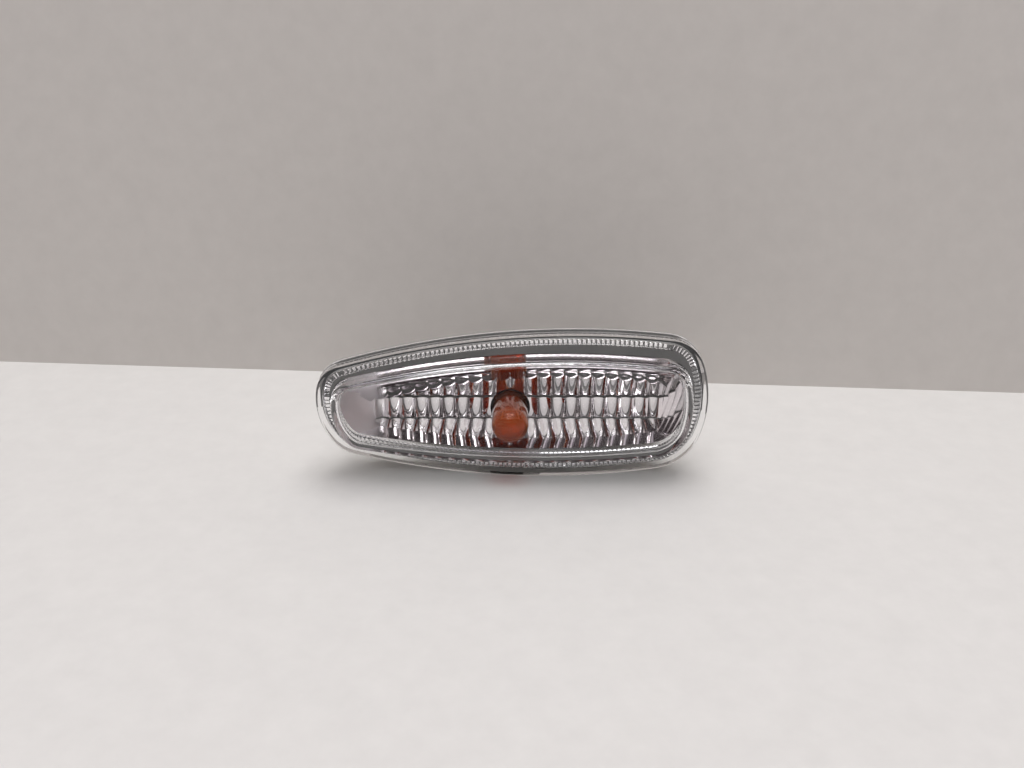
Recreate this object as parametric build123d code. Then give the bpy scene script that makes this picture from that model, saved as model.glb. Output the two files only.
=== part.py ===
from build123d import *
import math
import os

# Side repeater lamp of a car, pressed into a hole in the front wing.
# Each piece is drawn lying on its back: x runs along the lamp to its wide end, y up the lamp and z out of
# the panel. The pieces are stood up last, so that the lens looks along -Y and Z is up.
# The bulb's axis is at x = 0, the lamp's mid height is y = 0 and the panel's outer face is z = 0.

# Outline of the lens flange
tail_reach = 53.0
nose_reach = 52.0
lamp_height = 42.2
top_radius = 220.0
top_apex_x = 17.0
bottom_radius = 197.0
bottom_apex_x = 9.3
tail_radius = 32.0
nose_slimming = 1.1
end_apex_y = 1.5
corner_nose_top = 9.0
corner_nose_bottom = 10.0
corner_tail_top = 11.0
corner_tail_bottom = 14.0
least_corner = 1.5

# Outline of the dome, set in from the flange
dome_end_inset = 4.2
dome_top_inset = 5.55
dome_bottom_inset = 6.1
dome_top_radius = 235.0
dome_top_apex_x = 14.0
dome_bottom_radius = 280.0
dome_bottom_apex_x = 8.0
dome_corner_step = 3.0

# Rim: gasket on the panel, weld land of the housing under the flange of the lens
panel_thickness = 1.8
panel_gap = 0.3
gasket_thickness = 1.2
gasket_inset = 1.2
gasket_gap = 0.2
land_inset = 1.9
land_thickness = 1.6
lip_gap = 0.25

# Clear lens
flange_thickness = 2.6
flange_edge = 0.8
lens_wall = 1.8
dome_rise = 6.0
dome_draft = 5.0
shoulder_radius = 2.6
inner_bevel = 0.8
rib_inset = 2.0
rib_length = 1.6
rib_pitch = 1.27
rib_width = 0.85
rib_depth = 0.9

# Housing with its metallised, fluted bowl
housing_wall = 2.0
opening_inset = 0.45
opening_lip = 0.3
top_slope = 53.0
tail_slope = 28.0
nose_slope = 38.0
floor_slope = 3.0
tail_wall_radius = 42.0
nose_wall_radius = 24.0
ridge_depth = 6.0
flute_pitch = 3.75
flute_radius = 2.6
tier_ledge = 0.6
bulb_drop = 5.3
middle_tier = 6.2
upper_tilt = 14.0
lower_tilt = 10.0
lower_lean = 16.0
bulb_hole_gap = 0.6
collar_width = 1.6
collar_depth = 1.6

# Port at the back of the housing for the bulb holder
port_radius = 8.6
port_gap = 0.3
port_floor = 1.6
boss_wall = 1.8
lug_count = 3
lug_width = 4.0
lug_reach = 1.7
lug_thickness = 1.4
lug_gap = 0.2
lug_turn = 40.0

# Fixing tongue at the wide end and snap latch at the nose
hold_reach = 2.2
tongue_width = 12.0
tongue_thickness = 3.0
latch_width = 8.0
latch_thickness = 1.3
latch_stand = 1.6
latch_foot = 1.4

# Amber wedge bulb
bulb_radius = 5.0
bulb_length = 26.8
bulb_tip = 9.0
glass_wall = 0.7
neck_length = 2.8
neck_radius = 3.8
wedge_length = 8.0
wedge_width = 9.5
wedge_thickness = 2.4
lead_spacing = 5.0
lead_radius = 0.25
lead_return = 4.5
filament_radius = 0.35
filament_setback = 9.0

# Bulb holder, its seal and its contacts
seal_thickness = 1.5
seal_width = 2.4
holder_flange = 2.0
flange_reach = 3.0
glass_gap = 0.4
slot_gap = 0.2
foot_thickness = 0.6
leaf_thickness = 0.5
contact_width = 2.6
blade_thickness = 0.8
blade_length = 5.6
web_thickness = 1.5
plug_width = 14.0
plug_height = 9.0
plug_wall = 1.4
plug_corner = 1.5
plug_depth = 11.0

# Places that follow from the sizes above
half_height = lamp_height / 2
nose_radius = half_height - nose_slimming
lamp_length = tail_reach + nose_reach
land_front = gasket_thickness + land_thickness
flange_front = land_front + flange_thickness
dome_front = flange_front + dome_rise
shell_inset = opening_inset - housing_wall
shell_tail = tail_reach - dome_end_inset - shell_inset
shell_nose = nose_reach - dome_end_inset - shell_inset
flute_depth = flute_radius - math.sqrt(flute_radius**2 - (flute_pitch / 2) ** 2)
valley = -ridge_depth - flute_depth
shell_back = valley - housing_wall
bulb_y = -bulb_drop
bulb_hole_radius = bulb_radius + bulb_hole_gap
chamber_radius = port_radius + lug_reach + lug_gap
chamber_rear = shell_back - lug_thickness - 2 * lug_gap
port_rear = chamber_rear - port_floor
bulb_end = bulb_tip - bulb_length
wedge_top = bulb_end + wedge_length
filament_z = bulb_tip - filament_setback
lead_rise = wedge_thickness / 2 + lead_radius
slot_floor = bulb_end - lead_rise / 2 - lead_radius - foot_thickness - slot_gap
web_rear = slot_floor - web_thickness
plug_rear = web_rear - plug_depth
slot_half = wedge_thickness / 2 + 2 * lead_radius + leaf_thickness + slot_gap

# Sides of each outline as (centre x, centre y, radius), from the tail over the top to the bottom, and the
# radii of the corners between each side and the next
rim_sides = [
    (tail_reach - tail_radius, end_apex_y, tail_radius),
    (top_apex_x, half_height - top_radius, top_radius),
    (nose_radius - nose_reach, end_apex_y, nose_radius),
    (bottom_apex_x, bottom_radius - half_height, bottom_radius),
]
rim_corners = [corner_tail_top, corner_nose_top, corner_nose_bottom, corner_tail_bottom]
dome_sides = [
    (tail_reach - tail_radius, end_apex_y, tail_radius - dome_end_inset),
    (dome_top_apex_x, half_height - dome_top_inset - dome_top_radius, dome_top_radius),
    (nose_radius - nose_reach, end_apex_y, nose_radius - dome_end_inset),
    (dome_bottom_apex_x, dome_bottom_radius - half_height + dome_bottom_inset, dome_bottom_radius),
]
dome_corners = [corner - dome_corner_step for corner in rim_corners]


def bearing(start, end):
    """Direction in degrees from one point to another."""
    return math.degrees(math.atan2(end[1] - start[1], end[0] - start[0]))


def corner_centre(first, second, inset, radius):
    """Centre of the arc that rounds the corner between two sides, both set in."""
    reach = first[2] - inset - radius
    other = second[2] - inset - radius
    apart = math.dist(first[:2], second[:2])
    along = (reach**2 - other**2 + apart**2) / (2 * apart)
    aside = math.sqrt(reach**2 - along**2)
    way_x = (second[0] - first[0]) / apart
    way_y = (second[1] - first[1]) / apart
    return first[0] + along * way_x - aside * way_y, first[1] + along * way_y + aside * way_x


def outline(sides, corners, inset):
    """Face within four arcs set in evenly, with a round corner between each side and the next."""
    following = sides[1:] + sides[:1]
    radii = [max(corner - inset, least_corner) for corner in corners]
    centres = [corner_centre(a, b, inset, r) for a, b, r in zip(sides, following, radii)]
    edges = []
    for step, side in enumerate(sides):
        start = bearing(side, centres[step - 1])
        end = bearing(side, centres[step])
        turn = bearing(following[step], centres[step])
        edges.append(CenterArc(side[:2], side[2] - inset, start, (end - start) % 360))
        edges.append(CenterArc(centres[step], radii[step], end, (turn - end) % 360))
    return make_face(edges)


def rim_block(inset, low, high):
    """Straight-sided block of the flange's outline between two levels."""
    return extrude(Pos(0, 0, low) * outline(rim_sides, rim_corners, inset), high - low)


def dome_block(inset, low, high):
    """Straight-sided block of the dome's outline between two levels."""
    return extrude(Pos(0, 0, low) * outline(dome_sides, dome_corners, inset), high - low)


def disc(radius, low, high):
    """Cylinder about the bulb's axis between two levels."""
    return Pos(0, bulb_y, low) * extrude(Circle(radius), high - low)


def block(width, height, low, high, x=0.0, y=0.0):
    """Upright block between two levels, placed from the bulb's axis."""
    return Pos(x, bulb_y + y, low) * extrude(Rectangle(width, height), high - low)


def spoke(reach, width, turn):
    """Flat bar from the bulb's axis outwards, turned about that axis."""
    bar = Rectangle(reach, width, align=(Align.MIN, Align.CENTER))
    return Pos(0, bulb_y) * Rot(0, 0, turn) * bar


def dome(inset, front):
    """Dome with leaning sides and a flat front."""
    body = dome_block(inset, flange_front, front)
    return draft(body.faces().filter_by(Axis.Z, reverse=True), Plane.XY.offset(flange_front), dome_draft)


def front_edges(body):
    """Edges round the foremost face of a piece."""
    return body.faces().sort_by(Axis.Z)[-1].edges()


def ribs():
    """Ring of V-shaped notches under the flange, square to the outline."""
    path = outline(rim_sides, rim_corners, rib_inset + rib_length / 2).wire()
    count = round(path.length / rib_pitch)
    notch = Polygon((-rib_width / 2, 0), (rib_width / 2, 0), (0, rib_depth), align=None)
    cutter = extrude(Plane.XZ * notch, rib_length / 2, both=True)
    cutters = []
    for step in range(count):
        place = path.position_at(step / count)
        along = path.tangent_at(step / count)
        turn = math.degrees(math.atan2(along.Y, along.X))
        cutters.append(Pos(place.X, place.Y, land_front) * Rot(0, 0, turn) * cutter)
    return cutters


def make_lens():
    """Flange with a lip over the housing's land, ribs over the weld and a hollow dome."""
    flange = rim_block(0, gasket_thickness, flange_front)
    outside = dome(0, dome_front)
    inside = dome(lens_wall, dome_front - lens_wall)
    lens = fillet(front_edges(flange), flange_edge) + fillet(front_edges(outside), shoulder_radius)
    lens -= rim_block(land_inset - lip_gap, gasket_thickness, land_front)
    lens -= dome_block(lens_wall, land_front, flange_front)
    lens -= chamfer(front_edges(inside), inner_bevel)
    return lens - ribs()


def sloped_side(side, inset, slope, back):
    """Cone about a side's centre whose wall runs in from the opening's lip to the back."""
    lip = land_front - opening_lip
    spread = math.tan(math.radians(slope))
    front_radius = side[2] - inset + opening_lip * spread
    back_radius = side[2] - inset - (lip - back) * spread
    cone = Cone(back_radius, front_radius, land_front - back, align=(Align.CENTER, Align.CENTER, Align.MIN))
    return Pos(side[0], side[1], back) * cone


def sloped_end(side, inset, way, radius, slope):
    """Rounded end wall that leans in from the opening towards the back, open to the lamp's middle."""
    lean = math.radians(slope)
    edge_x = side[0] + way * (side[2] - inset)
    axis = Vector(-way * math.sin(lean), 0, -math.cos(lean))
    across = Vector(way * math.cos(lean), 0, -math.sin(lean))
    wall = Plane((edge_x, end_apex_y, land_front), x_dir=across, z_dir=axis)
    form = Pos(-radius) * Circle(radius)
    form += Pos(-radius - lamp_length) * Rectangle(2 * lamp_length, 2 * radius)
    return extrude(wall * form, lamp_length, both=True)


def bowl(inset, back):
    """Block whose sides slope in from the land to the back, each side at its own angle."""
    tail, top, nose, bottom = dome_sides
    body = dome_block(inset, back, land_front)
    body &= sloped_side(top, inset, top_slope, back)
    body &= sloped_side(bottom, inset, floor_slope, back)
    body &= sloped_end(tail, inset + opening_lip, 1, tail_wall_radius, tail_slope)
    return body & sloped_end(nose, inset + opening_lip, -1, nose_wall_radius, nose_slope)


def tier(level, proud, way, low, high):
    """Right-hand row of flutes along a direction through its ridge line, between two heights."""
    across = (Vector(1, 0, 0) - way * way.X).normalized()
    count = math.ceil(lamp_length / 2 / flute_pitch)
    pitch = flute_pitch * across.X
    reach = count * pitch
    stock = dome_front + ridge_depth
    edges = [Line((0, 0), (0, stock)), Line((0, stock), (reach, stock)), Line((reach, stock), (reach, 0))]
    for flute in range(count):
        left = flute * pitch
        low_point = (left + pitch / 2, -flute_depth)
        edges.append(ThreePointArc((left + pitch, 0), low_point, (left, 0)))
    plane = Plane((0, level, proud - ridge_depth), x_dir=across, z_dir=way)
    row = extrude(plane * make_face(edges), lamp_height, both=True)
    band = Box(2 * lamp_length, high - low, 2 * lamp_length, align=(Align.CENTER, Align.MIN, Align.CENTER))
    return row & Pos(0, low) * band


def flutes():
    """Three tiers of flutes on both sides of the bulb, with plain ground below the bulb hole."""
    low = bulb_y - middle_tier / 2
    high = bulb_y + middle_tier / 2
    up_slope = math.tan(math.radians(upper_tilt))
    down_slope = math.tan(math.radians(lower_tilt))
    side_slope = math.tan(math.radians(lower_lean))
    right = tier(low, 0, Vector(0, -1, 0), low, high)
    right += tier(high, -tier_ledge, Vector(0, -1, -up_slope).normalized(), high, half_height)
    right += tier(low, tier_ledge, Vector(side_slope, -1, down_slope).normalized(), -half_height, low)
    ground = collar_width + bulb_hole_radius
    middle = Box(ground, low + half_height, dome_front - valley, align=(Align.CENTER, Align.MIN, Align.MIN))
    return right + mirror(right, about=Plane.YZ) + Pos(0, -half_height, valley) * middle


def tongue():
    """Fixed tongue at the wide end that goes behind the panel's edge."""
    tip = shell_tail + hold_reach
    front = -panel_thickness - panel_gap
    length = tip - (tail_reach - tail_radius)
    bar = Box(length, tongue_width, tongue_thickness, align=(Align.MAX, Align.CENTER, Align.MAX))
    bar = chamfer(bar.faces().sort_by(Axis.X)[-1].edges(), tongue_thickness / 4)
    return Pos(tip, end_apex_y, front) * bar


def latch():
    """Springy finger at the nose with a barb behind the panel's edge, on a rib from the bulb port."""
    front = -panel_thickness - panel_gap
    edge = -shell_nose
    outer = edge + latch_stand
    inner = outer + latch_thickness
    foot = shell_back
    finger = Polygon(
        (edge - hold_reach, front),
        (outer, front - hold_reach - latch_stand),
        (outer, foot),
        (-chamber_radius, foot),
        (-chamber_radius, foot + latch_foot),
        (inner, foot + latch_foot),
        (inner, front),
        align=None,
    )
    return Pos(0, end_apex_y, 0) * extrude(Plane.XZ * finger, latch_width / 2, both=True)


def port():
    """Boss at the back with a keyed hole for the holder's lugs, and the chamber that they turn in."""
    boss = disc(chamber_radius + boss_wall, port_rear, valley)
    keyway = disc(port_radius, port_rear, chamber_rear)
    for lug in range(lug_count):
        slot = spoke(chamber_radius, lug_width + 2 * lug_gap, 90 + lug * 360 / lug_count)
        keyway += extrude(Pos(0, 0, port_rear) * slot, port_floor)
    return boss, keyway + disc(chamber_radius, chamber_rear, shell_back)


def make_housing():
    """Moulded body: weld land, fluted bowl, bulb port, tongue and latch in one piece."""
    boss, keyway = port()
    body = bowl(shell_inset, shell_back) + rim_block(land_inset, gasket_thickness, land_front)
    body += [boss, tongue(), latch()]
    body -= bowl(opening_inset, shell_back) & flutes()
    body -= keyway
    body -= disc(bulb_hole_radius, shell_back, 0)
    collar = Cone(bulb_hole_radius, bulb_hole_radius + collar_width, collar_depth)
    return body - Pos(0, bulb_y, valley + collar_depth / 2) * collar


def make_gasket():
    """Foam ring between the panel and the rim."""
    ring = rim_block(gasket_inset, 0, gasket_thickness)
    return ring - dome_block(shell_inset - gasket_gap, 0, gasket_thickness)


def bulb_form(shrink, base):
    """Body of the bulb with a round tip, down to its neck, made smaller by a wall."""
    radius = bulb_radius - shrink
    crown = bulb_tip - bulb_radius
    half = make_face([CenterArc((0, 0), radius, 0, 180), Line((-radius, 0), (radius, 0))])
    body = disc(radius, base + neck_length, crown) + Pos(0, bulb_y, crown) * revolve(half, Axis.X, 180)
    neck = Cone(neck_radius - shrink, radius, neck_length)
    return body + Pos(0, bulb_y, base + neck_length / 2) * neck


def make_bulb_glass():
    """Hollow envelope with a pinched wedge base and holes for the two leads."""
    wedge = SlotOverall(wedge_width, wedge_thickness)
    glass = bulb_form(0, wedge_top)
    glass += Pos(0, bulb_y, bulb_end) * extrude(wedge, wedge_length + neck_length / 2)
    glass -= bulb_form(glass_wall, wedge_top + glass_wall)
    for side in (-1, 1):
        hole = extrude(Circle(lead_radius), wedge_length + neck_length)
        glass -= Pos(side * lead_spacing / 2, bulb_y, bulb_end) * hole
    return glass


def make_lead(side):
    """Lead wire from the filament through the pinch, folded up the face of the wedge."""
    x = side * lead_spacing / 2
    far = bulb_y + side * lead_rise
    top = filament_z + filament_radius
    bend = bulb_end - lead_rise / 2
    path = Polyline((x, bulb_y, top), (x, bulb_y, bend), (x, far, bend), (x, far, bulb_end + lead_return))
    return sweep(Pos(x, bulb_y, top) * Circle(lead_radius), path=path, transition=Transition.RIGHT)


def make_filament():
    """Envelope of the coiled filament between the two leads."""
    coil = Cylinder(filament_radius, lead_spacing - 2 * lead_radius, rotation=(0, 90, 0))
    return Pos(0, bulb_y, filament_z) * coil


def contact_form(side):
    """Spring leaf beside the wedge, foot on the slot's floor and blade in the plug."""
    x = side * lead_spacing / 2
    inner = lead_rise + lead_radius
    leaf_y = side * (inner + leaf_thickness / 2)
    foot = inner + leaf_thickness + blade_thickness / 2
    foot_y = side * (foot / 2 - blade_thickness / 2)
    contact = block(contact_width, leaf_thickness, slot_floor, wedge_top - glass_gap, x, leaf_y)
    contact += block(contact_width, foot, slot_floor, slot_floor + foot_thickness, x, foot_y)
    return contact + block(contact_width, blade_thickness, web_rear - blade_length, slot_floor, x)


def make_holder():
    """Twist-in holder: lugs, flange, bulb slot and the shroud of its two-way plug."""
    seal_rear = port_rear - seal_thickness
    flange_rear = seal_rear - holder_flange
    lug_front = shell_back - lug_gap
    body_radius = port_radius - port_gap
    holder = disc(body_radius, flange_rear, lug_front)
    holder += disc(port_radius + flange_reach, flange_rear, seal_rear)
    for lug in range(lug_count):
        form = spoke(body_radius + lug_reach, lug_width, 90 + lug_turn + lug * 360 / lug_count)
        holder += extrude(Pos(0, 0, lug_front) * form, -lug_thickness)
    shroud = fillet(Rectangle(plug_width, plug_height).vertices(), plug_corner)
    holder += Pos(0, bulb_y, plug_rear) * extrude(shroud, flange_rear - plug_rear)
    holder -= block(plug_width - 2 * plug_wall, plug_height - 2 * plug_wall, plug_rear, web_rear)
    holder -= disc(bulb_radius + glass_gap, wedge_top - glass_gap, lug_front)
    holder -= block(wedge_width + 2 * slot_gap, 2 * slot_half, slot_floor, lug_front)
    return holder - [contact_form(-1), contact_form(1)]


def make_seal():
    """Rubber ring squeezed between the holder's flange and the port."""
    front = port_rear
    rear = port_rear - seal_thickness
    return disc(port_radius + seal_width, rear, front) - disc(port_radius, rear, front)


def stand_up(shape):
    """Turns a piece from lying on its back to standing with the lens to the front."""
    return Rot(90, 0, 0) * shape


pieces = {
    "lens": make_lens(),
    "reflector_housing": make_housing(),
    "panel_gasket": make_gasket(),
    "bulb_glass": make_bulb_glass(),
    "bulb_filament": make_filament(),
    "bulb_lead_left": make_lead(-1),
    "bulb_lead_right": make_lead(1),
    "bulb_holder": make_holder(),
    "holder_seal": make_seal(),
    "contact_left": contact_form(-1),
    "contact_right": contact_form(1),
}

os.makedirs("parts", exist_ok=True)
for name, piece in pieces.items():
    export_step(stand_up(piece), f"parts/{name}.step")
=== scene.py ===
"""Side repeater lamp of a car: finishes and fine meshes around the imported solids."""

import logging
import math
from dataclasses import dataclass, field
from enum import Enum

import bmesh
import bpy
from mathutils import Matrix, Vector


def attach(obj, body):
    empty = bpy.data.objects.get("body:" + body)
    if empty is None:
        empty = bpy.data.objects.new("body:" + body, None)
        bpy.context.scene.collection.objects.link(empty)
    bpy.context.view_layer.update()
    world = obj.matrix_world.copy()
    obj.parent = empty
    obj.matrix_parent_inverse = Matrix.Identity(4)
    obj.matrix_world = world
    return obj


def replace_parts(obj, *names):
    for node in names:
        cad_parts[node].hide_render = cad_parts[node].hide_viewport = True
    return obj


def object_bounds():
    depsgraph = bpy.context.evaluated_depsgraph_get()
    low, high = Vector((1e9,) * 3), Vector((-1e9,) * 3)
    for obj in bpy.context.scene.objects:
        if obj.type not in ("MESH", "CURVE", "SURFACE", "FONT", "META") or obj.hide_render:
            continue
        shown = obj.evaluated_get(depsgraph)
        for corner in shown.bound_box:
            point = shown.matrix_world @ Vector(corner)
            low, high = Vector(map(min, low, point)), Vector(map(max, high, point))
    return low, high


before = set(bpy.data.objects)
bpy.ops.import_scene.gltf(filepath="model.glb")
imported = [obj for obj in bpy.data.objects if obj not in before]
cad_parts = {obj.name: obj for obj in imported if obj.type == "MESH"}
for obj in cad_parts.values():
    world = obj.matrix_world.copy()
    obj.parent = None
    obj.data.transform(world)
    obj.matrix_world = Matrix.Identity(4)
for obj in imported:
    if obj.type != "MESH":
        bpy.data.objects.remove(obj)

LOG = logging.getLogger("side_repeater")
CAD_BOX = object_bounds()
BODY = "root"
MILLIMETRE = 0.001
UP = Vector((0, 0, 1))
STAND_UP = Matrix.Rotation(math.radians(90), 4, "X") @ Matrix.Scale(MILLIMETRE, 4)

# Sizes that several pieces share, in millimetres: distance at which points are joined, room between pieces,
# level of the land that carries the lens, and depth of the bulb's axis below the lamp's mid height
WELD = 0.01
CLEARANCE = 0.05
LAND = 2.8
BULB_DROP = 5.3

# Stretch along the lamp, in metres, over which its narrow end begins
NOSE_START = -0.0335
NOSE_END = -0.0385

# Mottling of a moulded surface: patches in a metre, and the values of the noise that count as none and all
CLOUD_SCALE = 90.0
MOTTLE_RANGE = (0.12, 0.42)
GLOSS_RANGE = (0.3, 0.7)

# Colour sockets of the Mix node, which shares their names with its sockets for numbers
MIX_A, MIX_B, MIX_RESULT = 6, 7, 2


class Surface(Enum):
    """How a finish treats light."""

    SOLID = "solid"
    METAL = "metal"
    GLASS = "glass"


class Cut(Enum):
    """What an exact Boolean keeps of two solids."""

    COMMON = "INTERSECT"
    BOTH = "UNION"


# Node helpers and shared effects


def add_node(tree: bpy.types.NodeTree, kind: str, **values: object) -> bpy.types.Node:
    """Adds a shader node and sets its inputs or properties by name.

    Args:
        tree: Node tree that takes the node.
        kind: Blender's name for the kind of node.
        values: Input sockets, with spaces written as underscores, or properties of the node.

    Returns:
        The new node.
    """
    node = tree.nodes.new(kind)
    for key, value in values.items():
        socket = node.inputs.get(key.replace("_", " "))
        if socket is None:
            setattr(node, key, value)
        elif isinstance(value, bpy.types.NodeSocket):
            tree.links.new(value, socket)
        else:
            socket.default_value = value
    return node


def new_group(
    name: str, inputs: dict[str, str], outputs: dict[str, str]
) -> tuple[bpy.types.NodeTree, bpy.types.Node, bpy.types.Node]:
    """Starts a shader node group with named sockets.

    Args:
        name: Name of the group.
        inputs: Socket name to socket type.
        outputs: Socket name to socket type.

    Returns:
        The group, its input node and its output node.
    """
    group = bpy.data.node_groups.new(name, "ShaderNodeTree")
    for socket, kind in inputs.items():
        group.interface.new_socket(name=socket, in_out="INPUT", socket_type=kind)
    for socket, kind in outputs.items():
        group.interface.new_socket(name=socket, in_out="OUTPUT", socket_type=kind)
    return group, group.nodes.new("NodeGroupInput"), group.nodes.new("NodeGroupOutput")


def moulding_group() -> bpy.types.NodeTree:
    """Makes the group that gives a moulded surface its mottled colour, gloss and fine relief.

    Returns:
        Group with the outputs Colour, Roughness and Height.
    """
    inputs = {
        "Colour": "NodeSocketColor",
        "Shade": "NodeSocketColor",
        "Grain": "NodeSocketFloat",
        "Smooth": "NodeSocketFloat",
        "Rough": "NodeSocketFloat",
    }
    outputs = {"Colour": "NodeSocketColor", "Roughness": "NodeSocketFloat", "Height": "NodeSocketFloat"}
    group, entry, leave = new_group("moulding", inputs, outputs)
    place = add_node(group, "ShaderNodeTexCoord").outputs["Object"]
    grain = add_node(group, "ShaderNodeTexNoise", Vector=place, Scale=entry.outputs["Grain"], Detail=4.0)
    cloud = add_node(group, "ShaderNodeTexNoise", Vector=place, Scale=CLOUD_SCALE, Detail=3.0, Roughness=0.6)
    mottle = add_node(group, "ShaderNodeMath", operation="MULTIPLY")
    group.links.new(grain.outputs["Fac"], mottle.inputs[0])
    group.links.new(cloud.outputs["Fac"], mottle.inputs[1])
    none, full = MOTTLE_RANGE
    spread = add_node(group, "ShaderNodeMapRange", Value=mottle.outputs[0], From_Min=none, From_Max=full)
    colour = add_node(group, "ShaderNodeMix", data_type="RGBA", Factor=spread.outputs["Result"])
    group.links.new(entry.outputs["Colour"], colour.inputs[MIX_A])
    group.links.new(entry.outputs["Shade"], colour.inputs[MIX_B])
    none, full = GLOSS_RANGE
    gloss = add_node(group, "ShaderNodeMapRange", Value=cloud.outputs["Fac"], From_Min=none, From_Max=full)
    group.links.new(entry.outputs["Smooth"], gloss.inputs["To Min"])
    group.links.new(entry.outputs["Rough"], gloss.inputs["To Max"])
    group.links.new(colour.outputs[MIX_RESULT], leave.inputs["Colour"])
    group.links.new(gloss.outputs["Result"], leave.inputs["Roughness"])
    group.links.new(grain.outputs["Fac"], leave.inputs["Height"])
    return group


def nose_group() -> bpy.types.NodeTree:
    """Makes the group that marks the lamp's narrow end with a soft edge.

    Returns:
        Group with the output Mask.
    """
    group, entry, leave = new_group(
        "nose", {"Start": "NodeSocketFloat", "End": "NodeSocketFloat"}, {"Mask": "NodeSocketFloat"}
    )
    place = add_node(group, "ShaderNodeTexCoord").outputs["Object"]
    along = add_node(group, "ShaderNodeSeparateXYZ", Vector=place).outputs["X"]
    mask = add_node(
        group, "ShaderNodeMapRange", interpolation_type="SMOOTHSTEP",
        Value=along, From_Min=entry.outputs["Start"], From_Max=entry.outputs["End"],
    )
    group.links.new(mask.outputs["Result"], leave.inputs["Mask"])
    return group


@dataclass(frozen=True)
class Finish:
    """Look of one material, in the terms that a moulder or plater would use.

    Attributes:
        name: Name of the material.
        colour: Main colour, linear.
        shade: Colour of the darker mottling, linear.
        smooth: Roughness where the surface is glossiest.
        rough: Roughness where it is dullest.
        grain: Number of grains in a metre.
        relief: Depth of the grain in metres.
        surface: How it treats light.
        index: Refractive index.
        clear: Share of the light that glass lets through.
        sheen: Strength of the mirror image on the surface.
        nose_rough: Roughness at the lamp's narrow end, or nothing where it is as elsewhere.
    """

    name: str
    colour: tuple[float, float, float]
    shade: tuple[float, float, float]
    smooth: float
    rough: float
    grain: float = 2500.0
    relief: float = 0.00002
    surface: Surface = Surface.SOLID
    index: float = 1.5
    clear: float = 1.0
    sheen: float = 1.0
    nose_rough: float | None = None

    def material(self) -> bpy.types.Material:
        """Builds the node material of this finish.

        Returns:
            The material, made once for each name.
        """
        made = bpy.data.materials.get(self.name)
        if made:
            return made
        material = bpy.data.materials.new(self.name)
        material.use_nodes = True
        tree = material.node_tree
        tree.nodes.clear()
        is_glass = self.surface is Surface.GLASS
        shader = tree.nodes.new("ShaderNodeBsdfPrincipled")
        shader.inputs["IOR"].default_value = self.index
        shader.inputs["Specular Tint"].default_value = (self.sheen, self.sheen, self.sheen, 1.0)
        shader.inputs["Metallic"].default_value = float(self.surface is Surface.METAL)
        shader.inputs["Transmission Weight"].default_value = self.clear if is_glass else 0.0
        self.dress(tree, shader)
        output = tree.nodes.new("ShaderNodeOutputMaterial")
        if is_glass:
            self.let_lamps_through(tree, shader, output)
        else:
            tree.links.new(shader.outputs["BSDF"], output.inputs["Surface"])
        return material

    def dress(self, tree: bpy.types.NodeTree, shader: bpy.types.Node) -> None:
        """Feeds the shader with the moulding's colour, gloss and relief.

        Args:
            tree: Node tree of the material.
            shader: Principled shader to feed.
        """
        group = tree.nodes.new("ShaderNodeGroup")
        group.node_tree = bpy.data.node_groups.get("moulding") or moulding_group()
        group.inputs["Colour"].default_value = (*self.colour, 1.0)
        group.inputs["Shade"].default_value = (*self.shade, 1.0)
        group.inputs["Grain"].default_value = self.grain
        group.inputs["Smooth"].default_value = self.smooth
        group.inputs["Rough"].default_value = self.rough
        tree.links.new(group.outputs["Colour"], shader.inputs["Base Color"])
        roughness = group.outputs["Roughness"]
        if self.nose_rough is not None:
            nose = tree.nodes.new("ShaderNodeGroup")
            nose.node_tree = bpy.data.node_groups.get("nose") or nose_group()
            nose.inputs["Start"].default_value = NOSE_START
            nose.inputs["End"].default_value = NOSE_END
            mask = nose.outputs["Mask"]
            blend = add_node(tree, "ShaderNodeMix", Factor=mask, A=roughness, B=self.nose_rough)
            roughness = blend.outputs["Result"]
        tree.links.new(roughness, shader.inputs["Roughness"])
        if self.relief:
            bump = add_node(tree, "ShaderNodeBump", Height=group.outputs["Height"], Distance=self.relief)
            tree.links.new(bump.outputs["Normal"], shader.inputs["Normal"])

    def let_lamps_through(
        self, tree: bpy.types.NodeTree, shader: bpy.types.Node, output: bpy.types.Node
    ) -> None:
        """Makes the glass clear to the lamps' shadow rays, tinted by its colour.

        Args:
            tree: Node tree of the material.
            shader: Principled shader of the glass.
            output: Output node of the material.
        """
        clear = tree.nodes.new("ShaderNodeBsdfTransparent")
        clear.inputs["Color"].default_value = (*self.colour, 1.0)
        path = tree.nodes.new("ShaderNodeLightPath")
        mix = tree.nodes.new("ShaderNodeMixShader")
        tree.links.new(path.outputs["Is Shadow Ray"], mix.inputs["Fac"])
        tree.links.new(shader.outputs["BSDF"], mix.inputs[1])
        tree.links.new(clear.outputs["BSDF"], mix.inputs[2])
        tree.links.new(mix.outputs["Shader"], output.inputs["Surface"])


CLEAR_LENS = Finish(
    "polished_acrylic", (0.985, 0.985, 0.99), (0.975, 0.975, 0.98), 0.0, 0.02,
    relief=0.0, surface=Surface.GLASS, index=1.49, sheen=0.2,
)
BRIGHT_COAT = Finish(
    "bright_coat", (0.93, 0.905, 0.915), (0.88, 0.85, 0.86), 0.03, 0.07,
    relief=0.0, surface=Surface.METAL, nose_rough=0.42,
)
GREY_MOULDING = Finish("grey_moulding", (0.4, 0.385, 0.375), (0.33, 0.32, 0.31), 0.38, 0.55)
FOAM = Finish(
    "grey_foam", (0.21, 0.207, 0.208), (0.14, 0.138, 0.139), 0.8, 0.95, grain=1400.0, relief=0.00012,
)
AMBER_GLASS = Finish(
    "amber_bulb_glass", (0.85, 0.24, 0.045), (0.72, 0.18, 0.03), 0.02, 0.07,
    relief=0.0, surface=Surface.GLASS, clear=0.72, sheen=0.5,
)
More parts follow.
